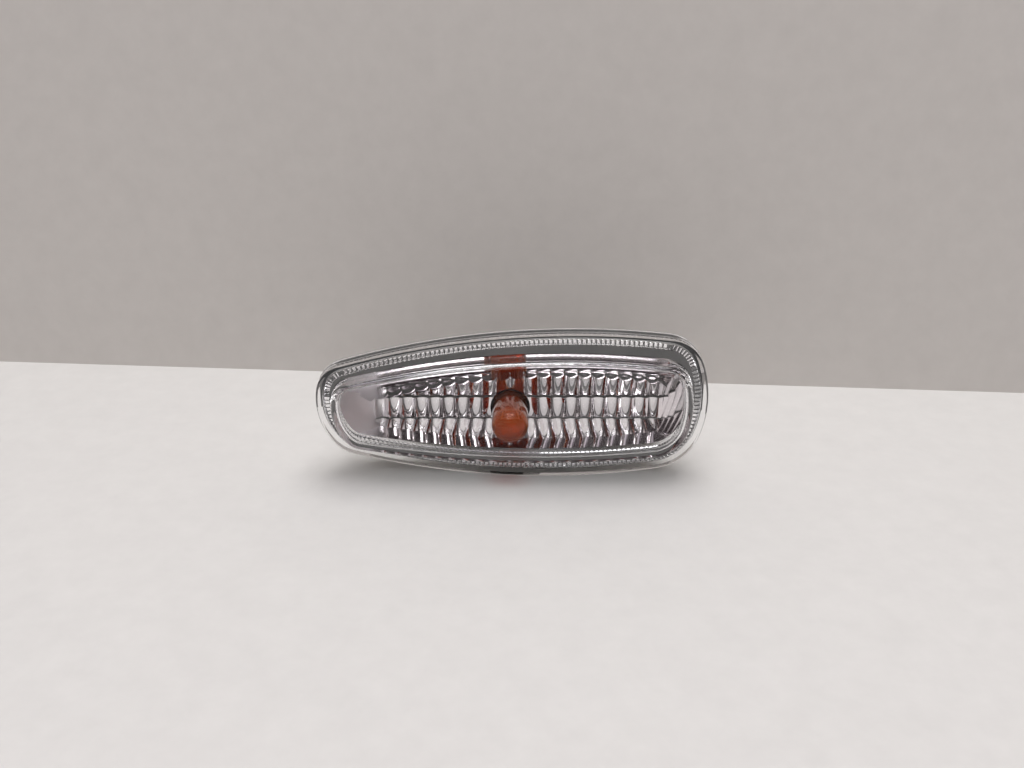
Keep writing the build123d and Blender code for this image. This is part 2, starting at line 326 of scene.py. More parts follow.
TUNGSTEN = Finish("dull_tungsten", (0.28, 0.28, 0.3), (0.2, 0.2, 0.22), 0.3, 0.5, surface=Surface.METAL)
LEAD_WIRE = Finish(
    "drawn_lead_wire", (0.62, 0.6, 0.58), (0.5, 0.48, 0.46), 0.25, 0.4, surface=Surface.METAL,
)
BLACK_MOULDING = Finish("black_moulding", (0.02, 0.02, 0.022), (0.012, 0.012, 0.013), 0.35, 0.55)
RUBBER = Finish("moulded_rubber", (0.03, 0.03, 0.032), (0.018, 0.018, 0.02), 0.6, 0.8)
BRASS = Finish("stamped_brass", (0.72, 0.5, 0.2), (0.55, 0.36, 0.13), 0.22, 0.4, surface=Surface.METAL)


# Drawing with mesh operators


class Pen:
    """Draws a wire in a mesh, one stroke after another."""

    def __init__(self, mesh: bmesh.types.BMesh, start: Vector) -> None:
        """Puts the pen down.

        Args:
            mesh: Mesh that takes the wire.
            start: First point of the wire.
        """
        self.mesh = mesh
        self.tip = bmesh.ops.create_vert(mesh, co=start)["vert"][0]
        self.wire: list = [self.tip]

    def line(self, end: Vector) -> None:
        """Draws a straight stroke to a point."""
        made = bmesh.ops.extrude_vert_indiv(self.mesh, verts=[self.tip])
        self.tip = made["verts"][0]
        self.tip.co = end
        self.wire += [*made["verts"], *made["edges"]]

    def arc(self, centre: Vector, axis: Vector, angle: float, steps: int) -> None:
        """Draws a round stroke.

        Args:
            centre: Centre that the tip turns about.
            axis: Axis of the turn.
            angle: Turn in radians.
            steps: Number of straight pieces.
        """
        before = set(self.mesh.verts) | set(self.mesh.edges)
        made = bmesh.ops.spin(
            self.mesh, geom=[self.tip], cent=centre, axis=axis,
            angle=angle, steps=steps, use_duplicate=False,
        )
        self.tip = next(piece for piece in made["geom_last"] if isinstance(piece, bmesh.types.BMVert))
        self.wire += [piece for piece in (*self.mesh.verts, *self.mesh.edges) if piece not in before]

    def close(self) -> list:
        """Joins the tip to the first point and fills the ring.

        Returns:
            The face in a list.
        """
        made = bmesh.ops.contextual_create(self.mesh, geom=[self.wire[0], self.tip])
        edges = [piece for piece in self.wire if isinstance(piece, bmesh.types.BMEdge)]
        return bmesh.ops.contextual_create(self.mesh, geom=edges + made["edges"])["faces"]


def finish_mesh(
    mesh: bmesh.types.BMesh, name: str, finish: Finish, sharp: float = 30.0
) -> bpy.types.Object:
    """Stands a mesh up, makes it an object and lets it ride on the lamp.

    Args:
        mesh: Mesh drawn lying on its back, in millimetres.
        name: Name of the piece.
        finish: Look of the piece.
        sharp: Angle in degrees from which an edge shows.

    Returns:
        The new object.
    """
    bmesh.ops.transform(mesh, matrix=STAND_UP, verts=mesh.verts)
    data = bpy.data.meshes.new(name)
    for face in mesh.faces:
        face.smooth = True
    mesh.to_mesh(data)
    mesh.free()
    data.set_sharp_from_angle(angle=math.radians(sharp))
    piece = bpy.data.objects.new(name, data)
    bpy.context.scene.collection.objects.link(piece)
    data.materials.append(finish.material())
    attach(piece, BODY)
    LOG.info("piece %s: %d faces", name, len(data.polygons))
    return piece


def cut_with(target: bpy.types.Object, tool: bpy.types.Object, cut: Cut) -> None:
    """Applies an exact Boolean to an object's mesh and removes the tool.

    Args:
        target: Object that is changed.
        tool: Object that bounds or extends it.
        cut: What is kept of the two.
    """
    modifier = target.modifiers.new("cut", "BOOLEAN")
    modifier.object = tool
    modifier.operation = cut.value
    modifier.solver = "EXACT"
    bpy.context.view_layer.update()
    seen = target.evaluated_get(bpy.context.evaluated_depsgraph_get())
    result = bpy.data.meshes.new_from_object(seen)
    target.modifiers.clear()
    target.data = result
    bpy.data.objects.remove(tool)


def loose_object(mesh: bmesh.types.BMesh, name: str) -> bpy.types.Object:
    """Makes a plain object of a mesh, for use in a Boolean."""
    data = bpy.data.meshes.new(name)
    mesh.to_mesh(data)
    mesh.free()
    piece = bpy.data.objects.new(name, data)
    bpy.context.scene.collection.objects.link(piece)
    return piece


# Outline


@dataclass(frozen=True)
class Arc:
    """One round stretch of an outline.

    Attributes:
        centre: Centre of the arc.
        radius: Radius of the arc.
        start: Angle of its first point.
        sweep: Turn to its last point, in radians.
    """

    centre: Vector
    radius: float
    start: float
    sweep: float

    def steps(self, stride: float) -> int:
        """Number of steps of about one stride along the arc."""
        return max(6, round(self.radius * abs(self.sweep) / stride))


@dataclass(frozen=True)
class Outline:
    """Closed outline of four arcs with rounded corners, in millimetres.

    Attributes:
        tail_reach: Distance from the bulb's axis to the wide end.
        nose_reach: Distance from the bulb's axis to the narrow end.
        top: Height of the top arc's highest point.
        bottom: Depth of the bottom arc's lowest point.
        top_radius: Radius of the top arc.
        top_apex: Place of its highest point along the lamp.
        bottom_radius: Radius of the bottom arc.
        bottom_apex: Place of its lowest point along the lamp.
        tail_radius: Radius of the wide end.
        nose_radius: Radius of the narrow end.
        end_apex: Height of the ends' furthest points.
        corners: Radii at the tail's top, nose's top, nose's bottom and tail's bottom.
        least_corner: Smallest radius that a corner may shrink to.
    """

    tail_reach: float = 53.0
    nose_reach: float = 52.0
    top: float = 21.1
    bottom: float = 21.1
    top_radius: float = 220.0
    top_apex: float = 17.0
    bottom_radius: float = 197.0
    bottom_apex: float = 9.3
    tail_radius: float = 32.0
    nose_radius: float = 20.0
    end_apex: float = 1.5
    corners: tuple[float, float, float, float] = (11.0, 9.0, 10.0, 14.0)
    least_corner: float = 1.5

    def sides(self) -> list[tuple[Vector, float]]:
        """Centres and radii of the tail, top, nose and bottom arcs, anticlockwise from the tail."""
        return [
            (Vector((self.tail_reach - self.tail_radius, self.end_apex, 0)), self.tail_radius),
            (Vector((self.top_apex, self.top - self.top_radius, 0)), self.top_radius),
            (Vector((self.nose_radius - self.nose_reach, self.end_apex, 0)), self.nose_radius),
            (Vector((self.bottom_apex, self.bottom_radius - self.bottom, 0)), self.bottom_radius),
        ]

    def arcs(self, inset: float) -> list[Arc]:
        """Eight tangent arcs of the outline, set in evenly.

        Args:
            inset: Distance inside the outline.

        Returns:
            Arcs in order, anticlockwise, from the tail.
        """
        sides = self.sides()
        joins = []
        for index, corner in enumerate(self.corners):
            (one, one_radius), (two, two_radius) = sides[index], sides[(index + 1) % 4]
            radius = max(corner, inset + self.least_corner)
            centre = self.corner_centre(one, one_radius - radius, two, two_radius - radius)
            joins.append((centre, radius, self.bearing(one, centre), self.bearing(two, centre)))
        arcs = []
        for index, (centre, radius) in enumerate(sides):
            start = joins[index - 1][3]
            arcs.append(Arc(centre, radius - inset, start, self.turn(start, joins[index][2])))
            centre, radius, start, end = joins[index]
            arcs.append(Arc(centre, radius - inset, start, self.turn(start, end)))
        return arcs

    @staticmethod
    def bearing(origin: Vector, target: Vector) -> float:
        """Angle of the line from one point to another."""
        return math.atan2(target.y - origin.y, target.x - origin.x)

    @staticmethod
    def turn(start: float, end: float) -> float:
        """Anticlockwise turn between two angles."""
        return (end - start) % math.tau

    @staticmethod
    def corner_centre(one: Vector, one_reach: float, two: Vector, two_reach: float) -> Vector:
        """Point at given distances from two centres, on the outline's side.

        Args:
            one: First centre.
            one_reach: Distance from it.
            two: Second centre.
            two_reach: Distance from it.

        Returns:
            The crossing of the two circles that lies further out along the lamp.
        """
        line = two - one
        along = (one_reach**2 - two_reach**2 + line.length_squared) / (2 * line.length)
        across = math.sqrt(max(one_reach**2 - along**2, 0.0))
        unit = line.normalized()
        choices = [one + unit * along + side * Vector((-unit.y, unit.x, 0)) * across for side in (-1, 1)]
        return max(choices, key=lambda point: abs(point.x))

    def start(self, inset: float, level: float) -> Vector:
        """First point of the outline at an inset and a level."""
        arc = self.arcs(inset)[0]
        return arc.centre + arc.radius * Vector((math.cos(arc.start), math.sin(arc.start), 0)) + level * UP

    def counts(self, stride: float) -> list[int]:
        """Number of steps of about one stride in each of the eight arcs."""
        return [arc.steps(stride) for arc in self.arcs(0)]

    def sweep(self, mesh: bmesh.types.BMesh, section: list) -> None:
        """Carries a section wire round the outline and closes the ring.

        Args:
            mesh: Mesh that holds the wire.
            section: Vertices and edges of the wire.
        """
        for arc, steps in zip(self.arcs(0), STEPS):
            made = bmesh.ops.spin(
                mesh, geom=section, cent=arc.centre, axis=UP,
                angle=arc.sweep, steps=steps, use_duplicate=False,
            )
            section = made["geom_last"]
        bmesh.ops.remove_doubles(mesh, verts=mesh.verts, dist=WELD)

    def loop(self, mesh: bmesh.types.BMesh, inset: float, level: float) -> list:
        """Draws the outline as a closed loop.

        Args:
            mesh: Mesh that takes the loop.
            inset: Distance inside the outline.
            level: Height of the loop.

        Returns:
            Edges of the loop.
        """
        before = set(mesh.edges)
        pen = Pen(mesh, self.start(inset, level))
        first = pen.tip
        for arc, steps in zip(self.arcs(inset), STEPS):
            pen.arc(arc.centre + level * UP, UP, arc.sweep, steps)
        bmesh.ops.pointmerge(mesh, verts=[first, pen.tip], merge_co=first.co)
        return [edge for edge in mesh.edges if edge not in before]


@dataclass(frozen=True)
class Section:
    """Upright plane at an outline's first point, in which a swept section is drawn.

    Attributes:
        outline: Outline that the section is carried round.
    """

    outline: Outline

    @property
    def inward(self) -> Vector:
        """Direction from the outline's first point towards its inside."""
        arc = self.outline.arcs(0)[0]
        return -Vector((math.cos(arc.start), math.sin(arc.start), 0))

    @property
    def roll(self) -> Vector:
        """Axis about which outwards turns to upwards."""
        return UP.cross(self.inward)

    def point(self, inset: float, level: float) -> Vector:
        """Place of a point of the section."""
        return self.outline.start(0, 0) + inset * self.inward + level * UP


RIM = Outline()
DOME = Outline(
    tail_reach=48.8, nose_reach=47.8, top=15.55, bottom=15.0, top_radius=235.0, top_apex=14.0,
    bottom_radius=280.0, bottom_apex=8.0, tail_radius=27.8, nose_radius=15.8, corners=(8.0, 6.0, 7.0, 11.0),
)
STRIDE = 0.64
STEPS = RIM.counts(STRIDE)


# Sub-assemblies


@dataclass
class Lens:
    """Clear moulded cover: a flange with a lip and a ring of ribs, and a flat-fronted dome.

    Sizes are in millimetres, levels from the panel's outer face, angles in degrees.

    Attributes:
        gasket: Level of the lip's foot, where the gasket begins.
        land: Level of the housing's land under the flange.
        flange_front: Level of the flange's front.
        edge_round: Radius of the flange's outer edge.
        lip_inset: Width of the lip.
        rib_inset: Distance of the ribs from the flange's edge.
        rib_length: Length of the ribs.
        rib_depth: Depth of the notches between the ribs.
        rib_step: Width of a notch's end.
        wall: Thickness of the dome.
        front: Level of the dome's flat front.
        draft: Lean of the dome's wall.
        shoulder: Radius between the dome's wall and front.
        inner_shoulder: The same on the inside.
        round_steps: Pieces of each rounded edge.
        flat_margin: Width of the narrow faces round the flat front.
    """

    gasket: float = 1.2
    land: float = LAND
    flange_front: float = 5.4
    edge_round: float = 0.8
    lip_inset: float = 1.65
    rib_inset: float = 2.0
    rib_length: float = 1.6
    rib_depth: float = 0.9
    rib_step: float = 0.08
    wall: float = 1.8
    front: float = 11.4
    draft: float = 5.0
    shoulder: float = 2.6
    inner_shoulder: float = 1.0
    round_steps: int = 10
    flat_margin: float = 0.3

    def flange(self, mesh: bmesh.types.BMesh) -> None:
        """Sweeps the flange's ring and notches its ribs.

        Args:
            mesh: Mesh that takes the ring.
        """
        plane = Section(RIM)
        under = self.land + CLEARANCE
        rib_end = self.rib_inset + self.rib_length
        tag = mesh.verts.layers.int.new("rib")
        pen = Pen(mesh, plane.point(rib_end, self.flange_front))
        pen.line(plane.point(self.edge_round, self.flange_front))
        centre = plane.point(self.edge_round, self.flange_front - self.edge_round)
        pen.arc(centre, plane.roll, -math.pi / 2, self.round_steps)
        pen.line(plane.point(0, self.gasket))
        pen.line(plane.point(self.lip_inset, self.gasket))
        pen.line(plane.point(self.lip_inset, under))
        pen.line(plane.point(self.rib_inset, under))
        notch_ends = (self.rib_inset + self.rib_step, rib_end - self.rib_step)
        for inset, ring in (*zip(notch_ends, (1, 2)), (rib_end, 0)):
            pen.line(plane.point(inset, under))
            pen.tip[tag] = ring
        RIM.sweep(mesh, pen.wire)
        for ring in (1, 2):
            points = [vert for vert in mesh.verts if vert[tag] == ring]
            points.sort(key=lambda vert: math.atan2(vert.co.y, vert.co.x))
            for vert in points[::2]:
                vert.co.z += self.rib_depth

    def dome(
        self, mesh: bmesh.types.BMesh, inset: float, base: float, front: float, shoulder: float
    ) -> None:
        """Sweeps one skin of the dome and closes its front.

        Args:
            mesh: Mesh that takes the skin.
            inset: Distance of the wall's foot inside the dome's outline.
            base: Level of the wall's foot.
            front: Level of the flat front.
            shoulder: Radius between wall and front.
        """
        plane = Section(DOME)
        lean = math.radians(self.draft)
        foot = self.flange_front
        level = front - shoulder
        centre = inset + (level - foot) * math.tan(lean) + shoulder / math.cos(lean)
        pen = Pen(mesh, plane.point(inset, base))
        if base < foot:
            pen.line(plane.point(inset, foot))
        pen.line(plane.point(centre - shoulder * math.cos(lean), level + shoulder * math.sin(lean)))
        pen.arc(plane.point(centre, level), plane.roll, math.pi / 2 - lean, self.round_steps)
        DOME.sweep(mesh, pen.wire)
        rim = [edge for edge in mesh.edges if edge.is_boundary and self.at_level(edge, front)]
        cap = bmesh.ops.contextual_create(mesh, geom=rim)["faces"]
        bmesh.ops.inset_region(mesh, faces=cap, thickness=self.flat_margin)

    @staticmethod
    def at_level(edge: bmesh.types.BMEdge, level: float) -> bool:
        """Whether both ends of an edge lie at a level."""
        return all(abs(vert.co.z - level) < WELD for vert in edge.verts)

    def join(self, mesh: bmesh.types.BMesh, level: float) -> None:
        """Fills the flat ring between the flange and the dome at a level."""
        rims = [edge for edge in mesh.edges if edge.is_boundary and self.at_level(edge, level)]
        bmesh.ops.triangle_fill(mesh, use_beauty=True, edges=rims, normal=UP)

    def build(self) -> bpy.types.Object:
        """Builds the whole lens as one closed shell.

        Returns:
            The lens object.
        """
        mesh = bmesh.new()
        under = self.land + CLEARANCE
        self.flange(mesh)
        self.dome(mesh, 0.0, self.flange_front, self.front, self.shoulder)
        self.join(mesh, self.flange_front)
        self.dome(mesh, self.wall, under, self.front - self.wall, self.inner_shoulder)
        self.join(mesh, under)
        bmesh.ops.recalc_face_normals(mesh, faces=mesh.faces)
        lens = finish_mesh(mesh, "clear_lens", CLEAR_LENS)
        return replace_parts(lens, "lens")


@dataclass
class BrightBowl:
    """Metallised skin of the housing's bowl, with three tiers of flutes round the bulb's hole.

    Sizes are in millimetres, levels from the panel's outer face, angles in degrees.

    Attributes:
        skin: Distance of the skin in front of the housing's own surface.
        opening: Distance of the bowl's mouth inside the dome's outline.
        lip: Depth of the straight edge at the mouth, and its width at the ends.
        front: Level of the mouth.
        back: Level behind the deepest flute.
        hole_back: Level of the bulb hole's far end.
        over: Overlap of the spaces that bound the bowl.
        top_slope: Lean of the top wall from the lamp's axis.
        tail_slope: Lean of the wide end's wall.
        nose_slope: Lean of the narrow end's wall.
        floor_slope: Lean of the bottom wall.
        tail_wall_radius: Radius of the wide end's wall.
        nose_wall_radius: Radius of the narrow end's wall.
        ridge: Depth of the ridges of the middle tier.
        pitch: Distance between ridges.
        radius: Radius of a flute.
        flutes: Number of flutes.
        ledge: Step between tiers.
        ledge_drop: Height of the step's slant.
        bulb_drop: Depth of the bulb's axis below the lamp's mid height.
        middle: Height of the middle tier.
        upper_tilt: Backward tilt of the upper tier.
        lower_tilt: Forward tilt of the lower tier.
        lower_lean: Sideways lean of the lower tier's flutes.
        hole: Radius of the bulb's hole.
        collar: Width and depth of the hole's flare.
        reach: Height to which the outer tiers are drawn, past the walls.
        flute_steps: Pieces of a flute's arc.
        hole_steps: Pieces of the hole's circle.
        wall_steps: Pieces of a long wall's full circle.
        end_steps: Pieces of an end wall's arc.
    """

    skin: float = 0.08
    opening: float = 0.45
    lip: float = 0.3
    front: float = LAND
    back: float = -8.2
    hole_back: float = -8.7
    over: float = 1.0
    top_slope: float = 53.0
    tail_slope: float = 28.0
    nose_slope: float = 38.0
    floor_slope: float = 3.0
    tail_wall_radius: float = 42.0
    nose_wall_radius: float = 24.0
    ridge: float = 6.0
    pitch: float = 3.75
    radius: float = 2.6
    flutes: int = 28
    ledge: float = 0.6
    ledge_drop: float = 0.02
    bulb_drop: float = BULB_DROP
    middle: float = 6.2
    upper_tilt: float = 14.0
    lower_tilt: float = 10.0
    lower_lean: float = 16.0
    hole: float = 5.6
    collar: float = 1.6
    reach: float = 24.0
    flute_steps: int = 16
    hole_steps: int = 96
    wall_steps: int = 2400
    end_steps: int = 240

    @property
    def crest(self) -> float:
        """Level of the ridges between the flutes of the middle tier."""
        return self.skin - self.ridge

    @property
    def valley(self) -> float:
        """Level of the flutes' deepest line in the middle tier."""
        return self.crest + math.sqrt(self.radius**2 - (self.pitch / 2) ** 2) - self.radius

    def opening_block(self) -> bpy.types.Object:
        """Makes the straight space behind the bowl's opening."""
        mesh = bmesh.new()
        loop = DOME.loop(mesh, self.opening + self.skin, self.back)
        face = bmesh.ops.contextual_create(mesh, geom=loop)["faces"]
        made = bmesh.ops.extrude_face_region(mesh, geom=face)["geom"]
        moved = [piece for piece in made if isinstance(piece, bmesh.types.BMVert)]
        bmesh.ops.translate(mesh, verts=moved, vec=(self.front - self.back) * UP)
        bmesh.ops.recalc_face_normals(mesh, faces=mesh.faces)
        return loose_object(mesh, "bowl_space")

    def long_wall(self, side: tuple[Vector, float], slope: float) -> bpy.types.Object:
        """Makes the space inside a long wall, a cone about the centre of the outline's arc.

        Args:
            side: Centre and radius of the outline's arc.
            slope: Angle of the wall from the lamp's axis.

        Returns:
            The space as a loose object.
        """
        mesh = bmesh.new()
        centre, radius = side
        spread = math.tan(math.radians(slope))
        edge = radius - self.opening - self.skin
        low = self.back - self.over
        high = self.front + self.over
        lip = self.front - self.lip
        bmesh.ops.create_cone(
            mesh, cap_ends=True, segments=self.wall_steps, depth=high - low,
            radius1=edge - (lip - low) * spread, radius2=edge + (high - lip) * spread,
        )
        bmesh.ops.translate(mesh, verts=mesh.verts, vec=centre + (low + high) / 2 * UP)
        return loose_object(mesh, "wall_space")

    def end_wall(
        self, side: tuple[Vector, float], way: int, radius: float, slope: float
    ) -> bpy.types.Object:
        """Makes the space inside a round end wall that leans in towards the back.

        Args:
            side: Centre and radius of the outline's arc.
            way: Direction of the end along the lamp.
            radius: Radius of the wall.
            slope: Angle of the wall from the lamp's axis.

        Returns:
            The space as a loose object.
        """
        mesh = bmesh.new()
        centre, reach = side
        length = RIM.tail_reach + RIM.nose_reach
        pen = Pen(mesh, Vector((-radius - length, -radius, -length)))
        pen.line(Vector((-radius, -radius, -length)))
        pen.arc(Vector((-radius, 0, -length)), UP, math.pi, self.end_steps)
        pen.line(Vector((-radius - length, radius, -length)))
        made = bmesh.ops.extrude_face_region(mesh, geom=pen.close())["geom"]
        moved = [piece for piece in made if isinstance(piece, bmesh.types.BMVert)]
        bmesh.ops.translate(mesh, verts=moved, vec=2 * length * UP)
        bmesh.ops.recalc_face_normals(mesh, faces=mesh.faces)
        edge = way * (reach - self.opening - self.lip - self.skin)
        place = centre + Vector((edge, 0, self.front))
        turn = Matrix.Rotation(math.radians(slope), 4, "Y")
        face_out = Matrix.Rotation(0 if way > 0 else math.pi, 4, "Z")
        bmesh.ops.transform(mesh, matrix=Matrix.Translation(place) @ face_out @ turn, verts=mesh.verts)
        return loose_object(mesh, "end_space")

    def flute_block(self) -> bpy.types.Object:
        """Makes the space in front of the three tiers of flutes."""
        mesh = bmesh.new()
        high = self.middle / 2 - self.bulb_drop
        low = high - self.middle
        start = high + self.reach
        rise = self.reach * math.tan(math.radians(self.upper_tilt))
        half = self.flutes * self.pitch / 2
        turn = 2 * math.asin(self.pitch / 2 / self.radius)
        front = rise - self.ledge
        pen = Pen(mesh, Vector((-half, start, front + self.crest)))
        for flute in range(self.flutes):
            middle = (flute + 0.5) * self.pitch - half
            centre = Vector((middle, start, front + self.valley + self.radius))
            pen.arc(centre, Vector((0, -1, 0)), turn, self.flute_steps)
        for x in (half, -half):
            pen.line(Vector((x, start, front + self.reach)))
        face = pen.close()
        inner: list = []
        drop = self.reach * math.tan(math.radians(self.lower_tilt))
        lean = self.reach * math.tan(math.radians(self.lower_lean))
        for shift, spread in (
            (Vector((0, -self.reach, -rise)), 0.0),
            (Vector((0, -self.ledge_drop, self.ledge)), 0.0),
            (Vector((0, -self.middle, 0)), 0.0),
            (Vector((0, -self.ledge_drop, self.ledge)), 0.0),
            (Vector((0, -self.reach, drop)), lean),
        ):
            made = bmesh.ops.extrude_face_region(mesh, geom=face)["geom"]
            bmesh.ops.delete(mesh, geom=inner, context="FACES_ONLY")
            face = inner = [piece for piece in made if isinstance(piece, bmesh.types.BMFace)]
            moved = [piece for piece in made if isinstance(piece, bmesh.types.BMVert)]
            bmesh.ops.translate(mesh, verts=moved, vec=shift)
            for side in (-1, 1):
                wing = [vert for vert in moved if vert.co.x * side > self.pitch / 4]
                bmesh.ops.translate(mesh, verts=wing, vec=(side * spread, 0, 0))
        bmesh.ops.recalc_face_normals(mesh, faces=mesh.faces)
        return loose_object(mesh, "flute_space")

    def hole_block(self) -> bpy.types.Object:
        """Makes the bulb's hole with its flared collar."""
        mesh = bmesh.new()
        axis = Vector((0, -self.bulb_drop, 0))
        hole = self.hole - self.skin
        pen = Pen(mesh, axis + self.hole_back * UP)
        pen.line(axis + Vector((hole, 0, self.hole_back)))
        pen.line(axis + Vector((hole, 0, self.valley)))
        pen.line(axis + Vector((hole + self.collar, 0, self.valley + self.collar)))
        pen.line(axis + (self.valley + self.collar) * UP)
        bmesh.ops.spin(
            mesh, geom=pen.wire, cent=axis, axis=UP, angle=math.tau, steps=self.hole_steps, use_merge=True,
        )
        bmesh.ops.remove_doubles(mesh, verts=mesh.verts, dist=WELD)
        bmesh.ops.recalc_face_normals(mesh, faces=mesh.faces)
        return loose_object(mesh, "hole_space")

    def build(self) -> bpy.types.Object:
        """Builds the skin that is seen through the lens.

        Returns:
            The bowl's object.
        """
        tail, top, nose, bottom = DOME.sides()
        space = self.opening_block()
        for bound in (
            self.long_wall(top, self.top_slope),
            self.long_wall(bottom, self.floor_slope),
            self.end_wall(tail, 1, self.tail_wall_radius, self.tail_slope),
            self.end_wall(nose, -1, self.nose_wall_radius, self.nose_slope),
            self.flute_block(),
        ):
            cut_with(space, bound, Cut.COMMON)
        cut_with(space, self.hole_block(), Cut.BOTH)
        mesh = bmesh.new()
        mesh.from_mesh(space.data)
        bpy.data.objects.remove(space)
        ends = (self.front, self.hole_back)
        caps = [
            face for face in mesh.faces
            if any(all(abs(vert.co.z - level) < WELD for vert in face.verts) for level in ends)
        ]
        bmesh.ops.delete(mesh, geom=caps, context="FACES")
        bmesh.ops.reverse_faces(mesh, faces=mesh.faces)
        return finish_mesh(mesh, "bright_bowl", BRIGHT_COAT, sharp=9.0)


@dataclass
class Bulb:
    """Amber wedge bulb: blown glass and a coiled filament between its leads.

    Sizes are in millimetres, levels from the panel's outer face.

    Attributes:
        drop: Depth of the bulb's axis below the lamp's mid height.
        radius: Radius of the glass.
        tip: Level of the rounded tip.
        length: Length from the tip to the wedge's end.
        wall: Thickness of the glass.
        neck_length: Length of the cone behind the round body.
        neck_radius: Radius at the cone's small end.
        wedge_length: Length of the wedge behind the neck.
        wedge_width: Width of the wedge.
        wedge_thickness: Thickness of the wedge.
        wedge_overlap: Length by which the wedge runs into the neck.
        wedge_round: Radius of the wedge's long edges.
        wedge_steps: Pieces of each rounded edge.
        coil_radius: Radius of the filament's coil.
        coil_wire: Radius of its wire.
        coil_length: Length of the coil.
        coil_turns: Number of turns.
        coil_sides: Sides of the wire.
        coil_steps: Pieces of a turn.
        setback: Distance of the filament behind the tip.
        spin_steps: Pieces of the glass's circle.
        round_steps: Pieces of the tip's arc.
    """

    drop: float = BULB_DROP
    radius: float = 5.0
    tip: float = 9.0
    length: float = 26.8
    wall: float = 0.7
    neck_length: float = 2.8
    neck_radius: float = 3.8
    wedge_length: float = 8.0
    wedge_width: float = 9.5
    wedge_thickness: float = 2.4
    wedge_overlap: float = 0.7
    wedge_round: float = 1.08
    wedge_steps: int = 8
    coil_radius: float = 0.28
    coil_wire: float = 0.07
    coil_length: float = 4.4
    coil_turns: int = 20
    coil_sides: int = 8
    coil_steps: int = 16
    setback: float = 9.0
    spin_steps: int = 96
    round_steps: int = 24

    def skin(self, mesh: bmesh.types.BMesh, shrink: float) -> None:
        """Spins one skin of the glass body.

        Args:
            mesh: Mesh that takes the skin.
            shrink: Distance inside the outer skin.
        """
        axis = Vector((0, -self.drop, 0))
        base = self.tip - self.length + self.wedge_length + shrink
        radius = self.radius - shrink
        shoulder = self.tip - self.radius
        pen = Pen(mesh, axis + base * UP)
        pen.line(axis + Vector((self.neck_radius - shrink, 0, base)))
        pen.line(axis + Vector((radius, 0, base + self.neck_length)))
        pen.line(axis + Vector((radius, 0, shoulder)))
        pen.arc(axis + shoulder * UP, Vector((0, -1, 0)), math.pi / 2, self.round_steps)
        bmesh.ops.spin(
            mesh, geom=pen.wire, cent=axis, axis=UP, angle=math.tau, steps=self.spin_steps, use_merge=True,
        )
        bmesh.ops.remove_doubles(mesh, verts=mesh.verts, dist=WELD)

    def glass(self) -> bpy.types.Object:
        """Builds the hollow amber envelope with its pinched base.

        Returns:
            The glass object.
        """
        mesh = bmesh.new()
        self.skin(mesh, 0.0)
        outer = set(mesh.faces)
        self.skin(mesh, self.wall)
        bmesh.ops.recalc_face_normals(mesh, faces=mesh.faces)
        inner = [face for face in mesh.faces if face not in outer]
        centre = Vector((0, -self.drop, 0))
        if sum((face.calc_center_median() - centre).dot(face.normal) for face in inner) > 0:
            bmesh.ops.reverse_faces(mesh, faces=inner)
        body = loose_object(mesh, "bulb_body")
        base = bmesh.new()
        bmesh.ops.create_cube(base, size=1.0)
        height = self.wedge_length + self.wedge_overlap
        bottom = self.tip - self.length
        bmesh.ops.scale(base, vec=(self.wedge_width, self.wedge_thickness, height), verts=base.verts)
        bmesh.ops.translate(base, vec=(0, -self.drop, bottom + height / 2), verts=base.verts)
        upright = [edge for edge in base.edges if abs(edge.verts[0].co.z - edge.verts[1].co.z) > WELD]
        bmesh.ops.bevel(
            base, geom=upright, offset=self.wedge_round, offset_type="OFFSET",
            segments=self.wedge_steps, profile=0.5, affect="EDGES", material=-1,
        )
        cut_with(body, loose_object(base, "bulb_wedge"), Cut.BOTH)
        joined = bmesh.new()
        joined.from_mesh(body.data)
        bpy.data.objects.remove(body)
        piece = finish_mesh(joined, "bulb_glass_blown", AMBER_GLASS)
        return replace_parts(piece, "bulb_glass")

    def filament(self) -> bpy.types.Object:
        """Winds the filament's coil between the leads.

        Returns:
            The coil object.
        """
        mesh = bmesh.new()
        level = self.tip - self.setback
        start = Vector((-self.coil_length / 2, -self.drop, level))
        made = bmesh.ops.create_circle(mesh, segments=self.coil_sides, radius=self.coil_wire)
        bmesh.ops.translate(mesh, verts=made["verts"], vec=start + Vector((0, self.coil_radius, 0)))
        steps = self.coil_turns * self.coil_steps
        bmesh.ops.spin(
            mesh, geom=[*mesh.verts, *mesh.edges], cent=start, axis=(1, 0, 0), steps=steps,
            dvec=(self.coil_length / steps, 0, 0), angle=math.tau * self.coil_turns,
        )
        ends = [edge for edge in mesh.edges if edge.is_boundary]
        bmesh.ops.holes_fill(mesh, edges=ends, sides=0)
        bmesh.ops.recalc_face_normals(mesh, faces=mesh.faces)
        piece = finish_mesh(mesh, "filament_coil", TUNGSTEN)
        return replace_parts(piece, "bulb_filament")

    def build(self) -> None:
        """Builds the glass and the filament."""
        self.glass()
        self.filament()


@dataclass
class Moulded:
    """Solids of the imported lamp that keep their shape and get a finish."""

    finishes: dict[str, Finish] = field(
        default_factory=lambda: {
            "reflector_housing": GREY_MOULDING,
            "panel_gasket": FOAM,
            "bulb_lead_left": LEAD_WIRE,
            "bulb_lead_right": LEAD_WIRE,
            "bulb_holder": BLACK_MOULDING,
            "holder_seal": RUBBER,
            "contact_left": BRASS,
            "contact_right": BRASS,
        }
    )

    def dress(self) -> None:
        """Gives each solid its finish."""
        for node, finish in self.finishes.items():
            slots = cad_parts[node].data.materials
            slots.clear()
            slots.append(finish.material())
            LOG.info("piece %s: %s", node, finish.name)


